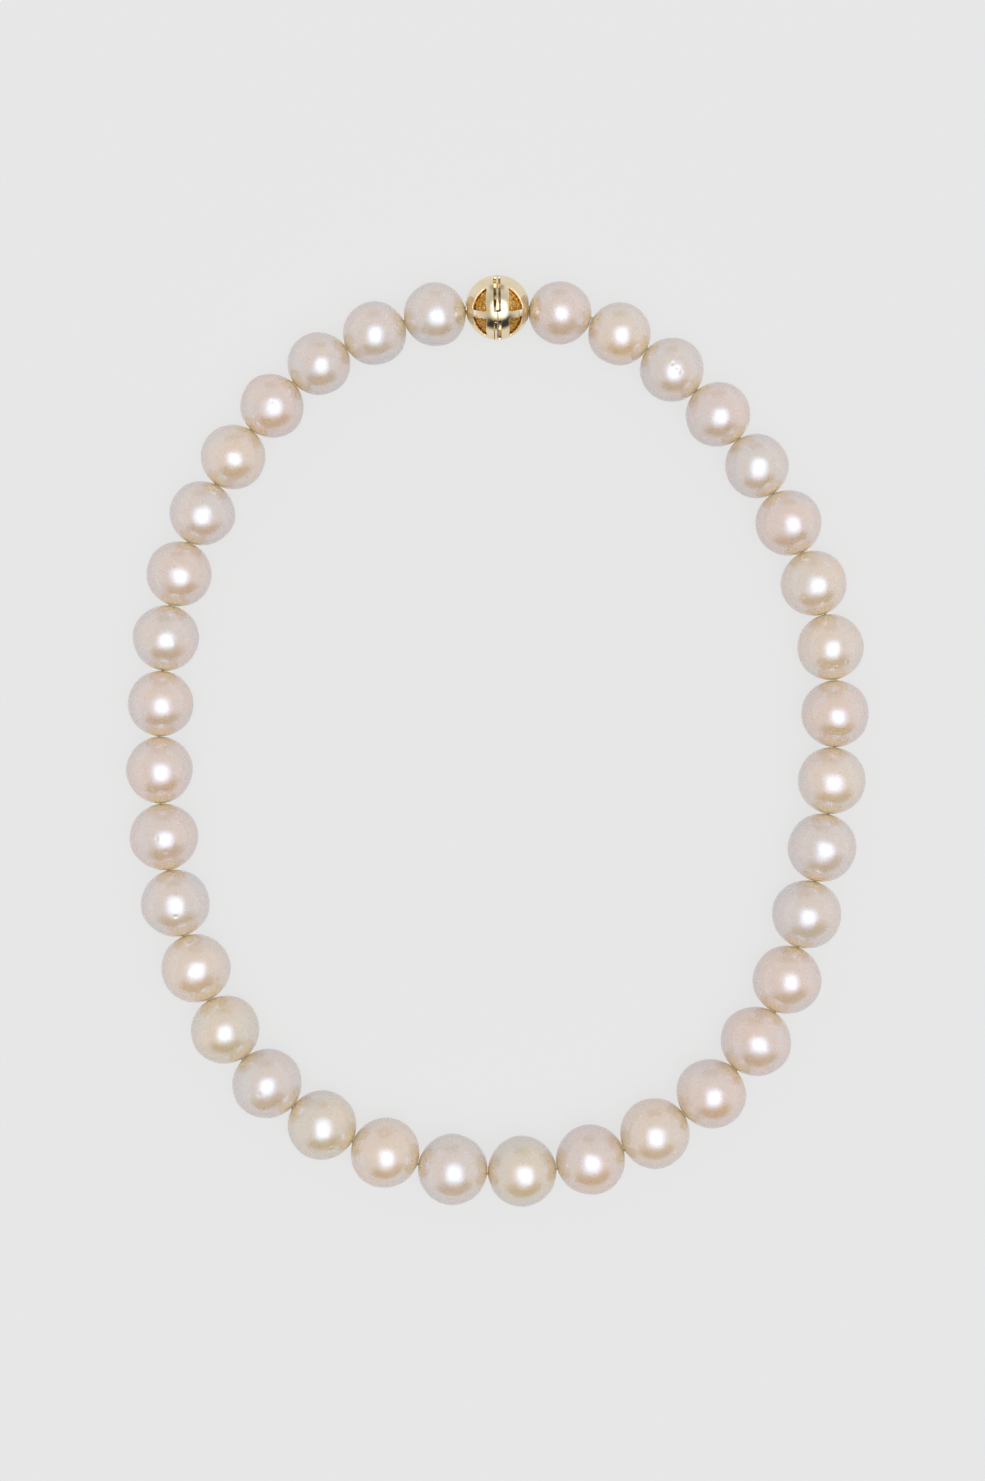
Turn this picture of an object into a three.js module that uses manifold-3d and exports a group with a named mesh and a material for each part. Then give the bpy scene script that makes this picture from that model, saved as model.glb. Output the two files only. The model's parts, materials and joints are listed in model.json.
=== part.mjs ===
// A single-strand pearl necklace, closed, lying flat on a surface in an egg-shaped loop.
// Thirty-six graduated drilled pearls touch on one silk thread, without knots between them. The two ends of
// the thread are held inside the halves of a ball clasp: a hollow tongue half, whose folded spring tongue
// carries a thumb tab, and a hollow box half, whose mouth plate takes the tongue.
// Millimetres. +Z is up, +Y points from the loop's centre to the clasp, and z = 0 is the surface.
import * as THREE from 'three';
import { mergeVertices } from 'three/addons/utils/BufferGeometryUtils.js';
import Module from 'manifold-3d';

const wasm = await Module();
wasm.setup();

// ---- the strand ----
const PEARL_COUNT = 36;
const PEARL_LENGTH_AT_CLASP = 11.61;
const PEARL_LENGTH_GAIN = 1.2; // the lowest pearls are this much longer along the thread
const PEARL_WIDTH_AT_CLASP = 11.6;
const PEARL_WIDTH_GAIN = 1.35; // and this much wider across it
const LENGTH_WOBBLE = 0.1; // no two natural pearls are quite alike
const WIDTH_WOBBLE = 0.14;
const WOBBLE_STEP = 2.4;
const SWELL_SHIFT = 1.5; // the right arm's pearls are a little bigger than the left arm's
const PEARL_GAP = 0.24; // between the solids of two touching pearls, so that the strand can bend
const DRILL_RADIUS = 0.5;
const THREAD_RADIUS = 0.25;
const PEARL_SIDES = 12;
const PEARL_BANDS = 7;
const THREAD_SEGMENTS = 4; // in each quarter turn of the thread's round section

// The thread's line on the surface, seen from above: clockwise from the clasp, at the middle of the top.
// The whole loop is scaled a little, so that the pearls and the clasp fill it exactly.
const ROUTE = [
  [0, 79.4],
  [10.8, 79],
  [21.5, 75.5],
  [40, 60.5],
  [53, 40.5],
  [61, 17.5],
  [61, -7],
  [56.5, -31],
  [48, -54],
  [30, -71],
  [5.5, -78.5],
  [-19.5, -75.5],
  [-42, -63],
  [-55, -42],
  [-61, -17.5],
  [-61.5, 7],
  [-58.5, 30.5],
  [-48.5, 52],
  [-33.5, 69],
  [-11.5, 78.5],
];
const ROUTE_DIVISIONS = 4000; // for measuring lengths along the route
const SCALE_RANGE = [0.9, 1.1]; // the scale that closes the loop is searched for in here
// Along the route, the next contact is never further than this many pearl lengths.
const LONGEST_DETOUR = 1.3;
const HALVINGS = 40;

// ---- the ball clasp, in its own frame: x along the thread, from the tongue half to the box half ----
const BALL_RADIUS = 5.95;
const WALL = 0.45;
const END_FLAT = 5.6; // the ball is cut flat this far from its middle, at both ends
const END_INSIDE = 5.2; // and is flat this far from it inside
const RING_OUT_TONGUE = 0.32; // how far each end ring stands out of the flat
const RING_OUT_BOX = 0.12;
const SEAM = 0.05; // each half stops this far from the middle of the ball
const BALL_SIDES = 24;
const BALL_BANDS = 7;
const END_HOLE = 0.9;

// Four windows pierce each face of the ball, left around a cross of straps.
const RIM_HALF_WIDTH = 2.07;
const STRAP_HALF_WIDTH = 0.69;
const WINDOW_REACH_X = 4.72;
const WINDOW_REACH_V = 5.1;
const WINDOW_ROUND = 0.45;
const WINDOW_TILT = THREE.MathUtils.degToRad(19.7); // the cross is turned this far from +Z toward -Y
const WINDOW_CUT = { inner: 0.75, outer: 1.3 }; // the cutters' reach, as shares of the ball's radius
const WINDOW_BANDS = 8;
const CORNER_SEGMENTS = 3;
const LINER_GAP = 0.1;
const LINER_WALL = 0.4;
const LINER_HOLE = 2.25;
const LINER_SIDES = 18;
const LINER_BANDS = 5;
const LINER_START = { tongue: 1.35, box: 1.15 };

// The latch is turned about the thread, so that the thumb tab looks out between +Z and +Y.
const LATCH_TILT = THREE.MathUtils.degToRad(24.6);
const TAB_HALF_ANGLE = THREE.MathUtils.degToRad(34);
const TAB_SLOT_HALF_ANGLE = THREE.MathUtils.degToRad(37);
const TAB_TOP = 6.07;
const TAB_FOOT = 4.2;
const TAB_FACES = [-0.2, 0.12];
const TAB_SLOT = { tongue: 0.72, box: 0.52 };
const KEY_TILT = THREE.MathUtils.degToRad(-62.3);
const KEY_HALF_ANGLE = THREE.MathUtils.degToRad(30);
const KEY_SLOT_HALF_ANGLE = THREE.MathUtils.degToRad(32.7);
const KEY_RADII = [5.1, 5.92];
const KEY_FACES = [-0.6, -0.15];
const KEY_SLOT = { tongue: 0.7, box: 0.6 };
const SLOT_FLOOR = 4.6;
const SLOT_CUT = { pastSeam: 0.5, pastBall: 1.5 };

const PLATE_RADIUS = 5.32;
const BASE_PLATE = [-1.15, -0.8];
const MOUTH_PLATE = [0.6, 0.95];
const LEAF = 0.35; // thickness of the spring strip
const LEAF_HALF_WIDTH = 1.5;
const NECK_HALF_WIDTH = 0.6;
const NECK_END = 1.12; // the shoulders start here, just inside the mouth plate
const LOWER_LEAF_FLOOR = -1.0;
const FOLD = { x: 2.9, w: -0.4, inner: 0.25 };
const SHOULDER_TOP = 0.65;
const LEAF_GAP = 0.12; // between the fold and the moving leaf
const LEAF_FOOT_GAP = 0.1; // between the base plate and the lower leaf
// The neck starts inside the wide leaf and ends inside the tab, a little lower than their faces.
const NECK = { overlap: 0.2, topDrop: 0.06, floorDrop: 0.05, tabDrop: 0.01 };
const MOUTH = { halfWidth: 1.7, floor: -1.25, lintel: 0.69, notchHalfWidth: 0.8, notchTop: 1.0 };

const RING_RADIUS = 1.4;
const TUBE_RADIUS = 0.78;
const RING_CHAMFER = 0.1;
const RING_CLEARANCE = 0.04; // the ring stops this far short of the pearl
const SOLDER_GAP = 0.06;
const TUBE_END = 4.62;
const EYELET_SIDES = 16;
const CRIMP_RADIUS = 0.65;
const CRIMP = [3.75, 4.5];
const CRIMP_SHOULDER = { drop: 0.15, length: 0.2 };
const CRIMP_GAP = 0.06; // round the thread
const CRIMP_SIDES = 10;
const THREAD_END = 3.85;
const OUTLINE_SEGMENTS = 8; // in each arc of a flat outline
const WELD = 1e-5;

const SILK = new THREE.MeshStandardMaterial({ color: 0xe9e2d3, roughness: 0.8, metalness: 0 });
const NACRE = new THREE.MeshStandardMaterial({ color: 0xe6dcd2, roughness: 0.22, metalness: 0 });
const GOLD = new THREE.MeshStandardMaterial({ color: 0xe3c27c, roughness: 0.15, metalness: 1 });
const GRAINED_GOLD = new THREE.MeshStandardMaterial({ color: 0xc8892f, roughness: 0.45, metalness: 1 });

// ---- helpers ----
function solid(geometry) {
  const bare = geometry.clone();
  bare.deleteAttribute('normal');
  bare.deleteAttribute('uv');
  const merged = mergeVertices(bare, WELD);
  const mesh = new wasm.Mesh({
    numProp: 3,
    vertProperties: new Float32Array(merged.attributes.position.array),
    triVerts: new Uint32Array(merged.index.array),
  });
  return new wasm.Manifold(mesh);
}

function fromSolid(body) {
  const mesh = body.getMesh();
  const geometry = new THREE.BufferGeometry();
  geometry.setAttribute('position', new THREE.BufferAttribute(new Float32Array(mesh.vertProperties), 3));
  geometry.setIndex(new THREE.BufferAttribute(new Uint32Array(mesh.triVerts), 1));
  geometry.computeVertexNormals();
  return geometry;
}

function subtractAll(geometry, cutters) {
  return fromSolid(cutters.reduce((body, cutter) => body.subtract(solid(cutter)), solid(geometry)));
}

function piece(name, geometry, material) {
  const mesh = new THREE.Mesh(geometry, material);
  mesh.name = name;
  return mesh;
}

// A solid of revolution about the x axis, from a closed profile of [x, radius] pairs.
function turned(profile, sides) {
  const points = [...profile, profile[0]].map(([x, radius]) => new THREE.Vector2(radius, x));
  return new THREE.LatheGeometry(points, sides).rotateZ(-Math.PI / 2);
}

// Points on a circle of the given radius about the origin, between two distances along the x axis.
function turnedArc(radius, fromX, toX, bands) {
  const first = Math.acos(fromX / radius);
  const last = Math.acos(toX / radius);
  return Array.from({ length: bands + 1 }, (_, n) => {
    const angle = first + ((last - first) * n) / bands;
    return [radius * Math.cos(angle), radius * Math.sin(angle)];
  });
}

// A flat outline in the plane across the thread (v sideways, w outward), given thickness along x.
function acrossThread(shape, faces) {
  const depth = faces[1] - faces[0];
  const options = { depth, steps: 1, bevelEnabled: false, curveSegments: OUTLINE_SEGMENTS };
  const toLatch = new THREE.Matrix4().makeBasis(
    new THREE.Vector3(0, 1, 0),
    new THREE.Vector3(0, 0, 1),
    new THREE.Vector3(1, 0, 0),
  );
  return new THREE.ExtrudeGeometry(shape, options).applyMatrix4(toLatch).translate(faces[0], 0, 0);
}

// A flat outline in the plane of the thread (x along it, w outward), given width sideways.
function alongThread(shape, halfWidth) {
  const options = { depth: 2 * halfWidth, steps: 1, bevelEnabled: false, curveSegments: OUTLINE_SEGMENTS };
  return new THREE.ExtrudeGeometry(shape, options).rotateX(Math.PI / 2).translate(0, halfWidth, 0);
}

function sector(innerRadius, outerRadius, halfAngle) {
  const up = Math.PI / 2;
  const shape = new THREE.Shape();
  shape.absarc(0, 0, outerRadius, up - halfAngle, up + halfAngle, false);
  shape.absarc(0, 0, innerRadius, up + halfAngle, up - halfAngle, true);
  shape.closePath();
  return shape;
}

// ---- the pearls ----
function swell(index) {
  return Math.sin((Math.PI * (index + SWELL_SHIFT)) / (PEARL_COUNT + 1 + SWELL_SHIFT)) ** 2;
}

function pearlLength(index) {
  const wobble = LENGTH_WOBBLE * Math.sin(WOBBLE_STEP * index);
  return PEARL_LENGTH_AT_CLASP + PEARL_LENGTH_GAIN * swell(index) + wobble;
}

function pearlWidth(index) {
  const wobble = WIDTH_WOBBLE * Math.cos(WOBBLE_STEP * index * index);
  return PEARL_WIDTH_AT_CLASP + PEARL_WIDTH_GAIN * swell(index) + wobble;
}

// A drilled pearl about its own drill axis, y. Flat facets face down, up and sideways.
function pearlGeometry(length, width) {
  const halfLength = (length - PEARL_GAP) / 2;
  const facetAngle = Math.PI / PEARL_SIDES;
  const mouthAngle = Math.asin((2 * DRILL_RADIUS) / width);
  const bandAngle = (Math.PI - 2 * mouthAngle) / PEARL_BANDS;
  const halfWidth = width / 2 / Math.cos(facetAngle) / Math.cos(bandAngle / 2);
  const profile = Array.from({ length: PEARL_BANDS + 1 }, (_, n) => {
    const angle = mouthAngle + bandAngle * n;
    return new THREE.Vector2(halfWidth * Math.sin(angle), -halfLength * Math.cos(angle));
  });
  profile.push(profile[0].clone());
  return new THREE.LatheGeometry(profile, PEARL_SIDES, facetAngle);
}

// ---- the loop ----
function loopCurve(scale) {
  const points = ROUTE.map(([x, y]) => new THREE.Vector3(x * scale, y * scale, 0));
  const curve = new THREE.CatmullRomCurve3(points, true, 'centripetal');
  curve.arcLengthDivisions = ROUTE_DIVISIONS;
  return curve;
}

// The next place along the curve that is a straight distance from the point at u.
function step(curve, u, distance) {
  const start = curve.getPointAt(((u % 1) + 1) % 1);
  let low = u;
  let high = u + (LONGEST_DETOUR * distance) / curve.getLength();
  for (let n = 0; n < HALVINGS; n += 1) {
    const middle = (low + high) / 2;
    const reached = curve.getPointAt(((middle % 1) + 1) % 1).distanceTo(start);
    if (reached < distance) {
      low = middle;
    } else {
      high = middle;
    }
  }
  return (low + high) / 2;
}

const CLASP_TONGUE_END = END_FLAT + RING_OUT_TONGUE;
const CLASP_BOX_END = END_FLAT + RING_OUT_BOX;
const CHORDS = [CLASP_TONGUE_END + CLASP_BOX_END];
for (let index = 1; index <= PEARL_COUNT; index += 1) {
  CHORDS.push(pearlLength(index));
}

// Where the pieces meet on a loop of this scale: the clasp's two ends first, then each pearl's far end.
function contactsAt(scale) {
  const curve = loopCurve(scale);
  const start = -CLASP_TONGUE_END / curve.getLength();
  let u = start;
  const points = [];
  for (const chord of CHORDS) {
    points.push(curve.getPointAt(((u % 1) + 1) % 1));
    u = step(curve, u, chord);
  }
  return { points, turns: u - start };
}

function closedLoop() {
  let [small, large] = SCALE_RANGE;
  for (let n = 0; n < HALVINGS; n += 1) {
    const middle = (small + large) / 2;
    if (contactsAt(middle).turns > 1) {
      small = middle;
    } else {
      large = middle;
    }
  }
  return contactsAt((small + large) / 2).points;
}

const JOINED = closedLoop();
const after = (index) => JOINED[(index + 1) % JOINED.length];
const middleOf = (index) => JOINED[index].clone().add(after(index)).multiplyScalar(0.5);
const headingOf = (index) => {
  const along = after(index).clone().sub(JOINED[index]);
  return Math.atan2(along.y, along.x);
};

// ---- the thread ----
// A tube whose sections fall exactly on the given points: it is straight inside each pearl.
class StraightRuns extends THREE.Curve {
  constructor(points) {
    super();
    this.points = points;
  }

  getPoint(t, target = new THREE.Vector3()) {
    const place = Math.min(Math.max(t, 0), 1) * (this.points.length - 1);
    const first = Math.min(Math.floor(place), this.points.length - 2);
    return target.lerpVectors(this.points[first], this.points[first + 1], place - first);
  }

  getUtoTmapping(u) {
    return u;
  }
}

function threadGeometry() {
  const axisHeight = (index) => (index === 0 ? BALL_RADIUS : pearlWidth(index) / 2);
  const heading = headingOf(0);
  const claspMiddle = JOINED[0].clone().add(
    new THREE.Vector3(Math.cos(heading), Math.sin(heading), 0).multiplyScalar(CLASP_TONGUE_END),
  );
  const inClasp = (x) =>
    new THREE.Vector3(x * Math.cos(heading), x * Math.sin(heading), BALL_RADIUS).add(claspMiddle);
  const points = [inClasp(THREAD_END)];
  for (let index = 0; index < JOINED.length; index += 1) {
    const next = (index + 1) % JOINED.length;
    const point = JOINED[next].clone();
    point.z = (axisHeight(index) + axisHeight(next)) / 2;
    points.push(point);
  }
  points.push(inClasp(-THREAD_END));
  const section = new THREE.Shape();
  section.absarc(0, 0, THREAD_RADIUS, 0, 2 * Math.PI, false);
  return new THREE.ExtrudeGeometry(section, {
    steps: points.length - 1,
    curveSegments: THREAD_SEGMENTS,
    extrudePath: new StraightRuns(points),
  });
}

// ---- the clasp ----
// side is -1 on the tongue half and +1 on the box half.
function windowShape(side, fold) {
  const p = (x, v) => [side * x, fold * v];
  const edgeX = WINDOW_REACH_X * Math.sqrt(1 - (STRAP_HALF_WIDTH / WINDOW_REACH_V) ** 2);
  const edgeV = WINDOW_REACH_V * Math.sqrt(1 - (RIM_HALF_WIDTH / WINDOW_REACH_X) ** 2);
  const onRim = (angle) => [WINDOW_REACH_X * Math.cos(angle), WINDOW_REACH_V * Math.sin(angle)];
  const firstAngle = Math.asin((STRAP_HALF_WIDTH + WINDOW_ROUND) / WINDOW_REACH_V);
  const lastAngle = Math.acos((RIM_HALF_WIDTH + WINDOW_ROUND) / WINDOW_REACH_X);
  const shape = new THREE.Shape();
  shape.moveTo(...p(RIM_HALF_WIDTH + WINDOW_ROUND, STRAP_HALF_WIDTH));
  shape.lineTo(...p(edgeX - WINDOW_ROUND, STRAP_HALF_WIDTH));
  shape.quadraticCurveTo(...p(edgeX, STRAP_HALF_WIDTH), ...p(...onRim(firstAngle)));
  for (let n = 1; n <= WINDOW_BANDS; n += 1) {
    shape.lineTo(...p(...onRim(firstAngle + ((lastAngle - firstAngle) * n) / WINDOW_BANDS)));
  }
  shape.quadraticCurveTo(...p(RIM_HALF_WIDTH, edgeV), ...p(RIM_HALF_WIDTH, edgeV - WINDOW_ROUND));
  shape.lineTo(...p(RIM_HALF_WIDTH, STRAP_HALF_WIDTH + WINDOW_ROUND));
  shape.quadraticCurveTo(
    ...p(RIM_HALF_WIDTH, STRAP_HALF_WIDTH),
    ...p(RIM_HALF_WIDTH + WINDOW_ROUND, STRAP_HALF_WIDTH),
  );
  return shape;
}

// A cutter whose walls all point at the ball's centre, so that each window's sides are square to the shell.
function windowCutter(side, fold, turn) {
  const options = { depth: 1, steps: 1, bevelEnabled: false, curveSegments: CORNER_SEGMENTS };
  const geometry = new THREE.ExtrudeGeometry(windowShape(side, fold), options);
  const position = geometry.attributes.position;
  for (let n = 0; n < position.count; n += 1) {
    const x = position.getX(n);
    const v = position.getY(n);
    const reach = position.getZ(n) > 0.5 ? WINDOW_CUT.outer : WINDOW_CUT.inner;
    const out = Math.sqrt(BALL_RADIUS ** 2 - x * x - v * v);
    position.setXYZ(n, x * reach, v * reach, out * reach);
  }
  return geometry.rotateX(WINDOW_TILT + turn);
}

function slotCutter(depth, side, halfAngle, tilt) {
  const faces = side > 0 ? [-SLOT_CUT.pastSeam, depth] : [-depth, SLOT_CUT.pastSeam];
  return acrossThread(sector(SLOT_FLOOR, BALL_RADIUS + SLOT_CUT.pastBall, halfAngle), faces).rotateX(-tilt);
}

function shellGeometry(half, side) {
  const inner = BALL_RADIUS - WALL;
  const profile = [
    ...turnedArc(BALL_RADIUS, SEAM, END_FLAT, BALL_BANDS),
    [END_FLAT, END_HOLE],
    [END_INSIDE, END_HOLE],
    ...turnedArc(inner, END_INSIDE, SEAM, BALL_BANDS - 2),
  ];
  const whole = turned(profile, BALL_SIDES);
  if (side < 0) {
    whole.rotateZ(Math.PI);
  }
  const cutters = [];
  for (const turn of [0, Math.PI]) {
    for (const fold of [-1, 1]) {
      cutters.push(windowCutter(side, fold, turn));
    }
  }
  cutters.push(slotCutter(TAB_SLOT[half], side, TAB_SLOT_HALF_ANGLE, LATCH_TILT));
  cutters.push(slotCutter(KEY_SLOT[half], side, KEY_SLOT_HALF_ANGLE, KEY_TILT));
  return subtractAll(whole, cutters);
}

// The grained cup behind the windows.
function linerGeometry(half, side) {
  const outer = BALL_RADIUS - WALL - LINER_GAP;
  const inner = outer - LINER_WALL;
  const start = LINER_START[half];
  const profile = [
    ...turnedArc(outer, start, Math.sqrt(outer ** 2 - LINER_HOLE ** 2), LINER_BANDS),
    ...turnedArc(inner, Math.sqrt(inner ** 2 - LINER_HOLE ** 2), start, LINER_BANDS),
  ];
  const cup = turned(profile, LINER_SIDES);
  return side < 0 ? cup.rotateZ(Math.PI) : cup;
}

// The end ring and its tube line the hole in the ball's end, so that the thread isn't cut.
function eyeletGeometry(ringOut, side) {
  const foot = END_FLAT + SOLDER_GAP;
  const top = END_FLAT + ringOut - RING_CLEARANCE;
  const profile = [
    [foot, RING_RADIUS],
    [top, RING_RADIUS - RING_CHAMFER],
    [top, DRILL_RADIUS],
    [TUBE_END, DRILL_RADIUS],
    [TUBE_END, TUBE_RADIUS],
    [foot, TUBE_RADIUS],
  ];
  const eyelet = turned(profile, EYELET_SIDES);
  return side < 0 ? eyelet.rotateZ(Math.PI) : eyelet;
}

// The crushed bead that grips the thread's end; it is too big to pull out through the eyelet.
function crimpGeometry(side) {
  const [near, far] = CRIMP;
  const grip = THREAD_RADIUS + CRIMP_GAP;
  const profile = [
    [near, grip],
    [near, CRIMP_RADIUS - CRIMP_SHOULDER.drop],
    [near + CRIMP_SHOULDER.length, CRIMP_RADIUS],
    [far - CRIMP_SHOULDER.length, CRIMP_RADIUS],
    [far, CRIMP_RADIUS - CRIMP_SHOULDER.drop],
    [far, grip],
  ];
  const bead = turned(profile, CRIMP_SIDES);
  return side < 0 ? bead.rotateZ(Math.PI) : bead;
}

function basePlateGeometry() {
  const disc = new THREE.Shape();
  disc.absarc(0, 0, PLATE_RADIUS, 0, 2 * Math.PI, false);
  return acrossThread(disc, BASE_PLATE);
}

function mouthPlateGeometry() {
  const disc = new THREE.Shape();
  disc.absarc(0, 0, PLATE_RADIUS, 0, 2 * Math.PI, false);
  const mouth = new THREE.Path();
  mouth.moveTo(-MOUTH.halfWidth, MOUTH.floor);
  mouth.lineTo(MOUTH.halfWidth, MOUTH.floor);
  mouth.lineTo(MOUTH.halfWidth, MOUTH.lintel);
  mouth.lineTo(MOUTH.notchHalfWidth, MOUTH.lintel);
  mouth.lineTo(MOUTH.notchHalfWidth, MOUTH.notchTop);
  mouth.lineTo(-MOUTH.notchHalfWidth, MOUTH.notchTop);
  mouth.lineTo(-MOUTH.notchHalfWidth, MOUTH.lintel);
  mouth.lineTo(-MOUTH.halfWidth, MOUTH.lintel);
  mouth.closePath();
  disc.holes.push(mouth);
  return acrossThread(disc, MOUTH_PLATE);
}

// The fixed lower leaf runs from the base plate to the fold, and curls up around it.
function lowerLeafGeometry() {
  const up = Math.PI / 2;
  const outer = FOLD.inner + LEAF;
  const foot = BASE_PLATE[1] + LEAF_FOOT_GAP;
  const side = new THREE.Shape();
  side.moveTo(foot, LOWER_LEAF_FLOOR);
  side.lineTo(FOLD.x, LOWER_LEAF_FLOOR);
  side.absarc(FOLD.x, FOLD.w, outer, -up, up, false);
  side.absarc(FOLD.x, FOLD.w, FOLD.inner, up, -up, true);
  side.lineTo(foot, LOWER_LEAF_FLOOR + LEAF);
  side.closePath();
  return alongThread(side, LEAF_HALF_WIDTH);
}

// The moving upper leaf rises from the fold to its shoulders, behind the mouth plate's lintel. A narrower
// neck goes on through the notch, and ends in the fan-shaped thumb tab, which stands up between the plates.
function springLeafGeometry() {
  const start = FOLD.x - LEAF_GAP;
  const startTop = FOLD.w + FOLD.inner + LEAF;
  const shoulderFloor = SHOULDER_TOP - LEAF;
  const wide = new THREE.Shape();
  wide.moveTo(start, startTop - LEAF);
  wide.lineTo(start, startTop);
  wide.lineTo(NECK_END, SHOULDER_TOP);
  wide.lineTo(NECK_END, shoulderFloor);
  wide.closePath();
  const neck = new THREE.Shape();
  neck.moveTo(NECK_END + NECK.overlap, shoulderFloor - NECK.floorDrop);
  neck.lineTo(NECK_END + NECK.overlap, SHOULDER_TOP - NECK.topDrop);
  neck.lineTo(TAB_FACES[0], SHOULDER_TOP - NECK.tabDrop);
  neck.lineTo(TAB_FACES[0], shoulderFloor - NECK.tabDrop);
  neck.closePath();
  const up = Math.PI / 2;
  const neckAngle = Math.asin(NECK_HALF_WIDTH / TAB_FOOT);
  const tab = new THREE.Shape();
  tab.moveTo(-NECK_HALF_WIDTH, shoulderFloor);
  tab.lineTo(NECK_HALF_WIDTH, shoulderFloor);
  tab.absarc(0, 0, TAB_FOOT, up - neckAngle, up - TAB_HALF_ANGLE, true);
  tab.absarc(0, 0, TAB_TOP, up - TAB_HALF_ANGLE, up + TAB_HALF_ANGLE, false);
  tab.absarc(0, 0, TAB_FOOT, up + TAB_HALF_ANGLE, up + neckAngle, true);
  tab.closePath();
  const parts = [
    alongThread(wide, LEAF_HALF_WIDTH),
    alongThread(neck, NECK_HALF_WIDTH),
    acrossThread(tab, TAB_FACES),
  ];
  return fromSolid(parts.map(solid).reduce((body, next) => body.add(next)));
}

function ballClasp() {
  const clasp = new THREE.Group();
  clasp.add(
    piece('tongue_shell', shellGeometry('tongue', -1), GOLD),
    piece('tongue_liner', linerGeometry('tongue', -1), GRAINED_GOLD),
    piece('tongue_eyelet', eyeletGeometry(RING_OUT_TONGUE, -1), GOLD),
    piece('tongue_crimp_bead', crimpGeometry(-1), GOLD),
    piece('box_shell', shellGeometry('box', 1), GOLD),
    piece('box_liner', linerGeometry('box', 1), GRAINED_GOLD),
    piece('box_eyelet', eyeletGeometry(RING_OUT_BOX, 1), GOLD),
    piece('box_crimp_bead', crimpGeometry(1), GOLD),
  );
  const latch = new THREE.Group();
  latch.rotation.x = -LATCH_TILT;
  latch.add(
    piece('tongue_base_plate', basePlateGeometry(), GOLD),
    piece('tongue_lower_leaf', lowerLeafGeometry(), GOLD),
    piece('thumb_tab_leaf', springLeafGeometry(), GOLD),
    piece('box_mouth_plate', mouthPlateGeometry(), GOLD),
  );
  const key = piece('tongue_index_key', acrossThread(sector(...KEY_RADII, KEY_HALF_ANGLE), KEY_FACES), GOLD);
  key.rotation.x = -KEY_TILT;
  clasp.add(latch, key);
  return clasp;
}

// ---- assembly ----
const necklace = new THREE.Group();
for (let index = 1; index <= PEARL_COUNT; index += 1) {
  const name = `pearl_${String(index).padStart(2, '0')}`;
  const pearl = piece(name, pearlGeometry(pearlLength(index), pearlWidth(index)), NACRE);
  pearl.position.copy(middleOf(index)).setZ(pearlWidth(index) / 2);
  pearl.rotation.z = headingOf(index) - Math.PI / 2;
  necklace.add(pearl);
}
necklace.add(piece('thread', threadGeometry(), SILK));

const clasp = ballClasp();
clasp.rotation.z = headingOf(0);
clasp.position.copy(JOINED[0]);
clasp.position.x += CLASP_TONGUE_END * Math.cos(headingOf(0));
clasp.position.y += CLASP_TONGUE_END * Math.sin(headingOf(0));
clasp.position.z = BALL_RADIUS;
necklace.add(clasp);

// The origin is under the middle of the whole loop.
const box = new THREE.Box3().setFromObject(necklace, true);
const middle = box.getCenter(new THREE.Vector3());
necklace.position.set(-middle.x, -middle.y, 0);

export default necklace;
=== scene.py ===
"""The pearl necklace's looks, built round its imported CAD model.

Everything is in metres in the model's own frame: +Z is up from the surface the strand lies on, and +Y
points to the clasp. Sizes below are in millimetres, and are turned into metres where they are used.
"""
import json
import math

import bmesh
import bpy
import numpy as np
from mathutils import Matrix, Vector

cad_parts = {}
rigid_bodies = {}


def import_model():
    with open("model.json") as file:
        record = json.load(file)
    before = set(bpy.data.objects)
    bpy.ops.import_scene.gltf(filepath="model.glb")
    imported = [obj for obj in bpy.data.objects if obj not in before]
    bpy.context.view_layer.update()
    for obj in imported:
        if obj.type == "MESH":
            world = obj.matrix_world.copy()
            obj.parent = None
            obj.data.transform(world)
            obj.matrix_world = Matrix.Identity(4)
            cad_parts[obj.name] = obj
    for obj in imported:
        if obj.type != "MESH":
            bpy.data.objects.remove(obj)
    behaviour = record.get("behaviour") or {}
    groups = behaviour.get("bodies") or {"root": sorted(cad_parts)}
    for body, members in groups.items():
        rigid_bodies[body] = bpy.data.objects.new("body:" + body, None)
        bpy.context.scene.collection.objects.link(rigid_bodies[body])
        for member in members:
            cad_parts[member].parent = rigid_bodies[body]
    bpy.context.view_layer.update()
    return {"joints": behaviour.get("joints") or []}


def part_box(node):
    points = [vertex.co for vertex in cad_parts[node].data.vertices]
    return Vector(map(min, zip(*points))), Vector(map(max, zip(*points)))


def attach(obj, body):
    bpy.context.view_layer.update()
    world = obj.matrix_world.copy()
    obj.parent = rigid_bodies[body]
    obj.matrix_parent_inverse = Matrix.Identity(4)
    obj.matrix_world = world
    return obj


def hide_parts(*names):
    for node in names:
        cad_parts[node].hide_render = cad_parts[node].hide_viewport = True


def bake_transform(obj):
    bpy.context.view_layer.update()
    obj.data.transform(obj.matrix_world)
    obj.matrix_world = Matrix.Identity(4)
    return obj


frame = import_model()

MM = 0.001

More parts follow.
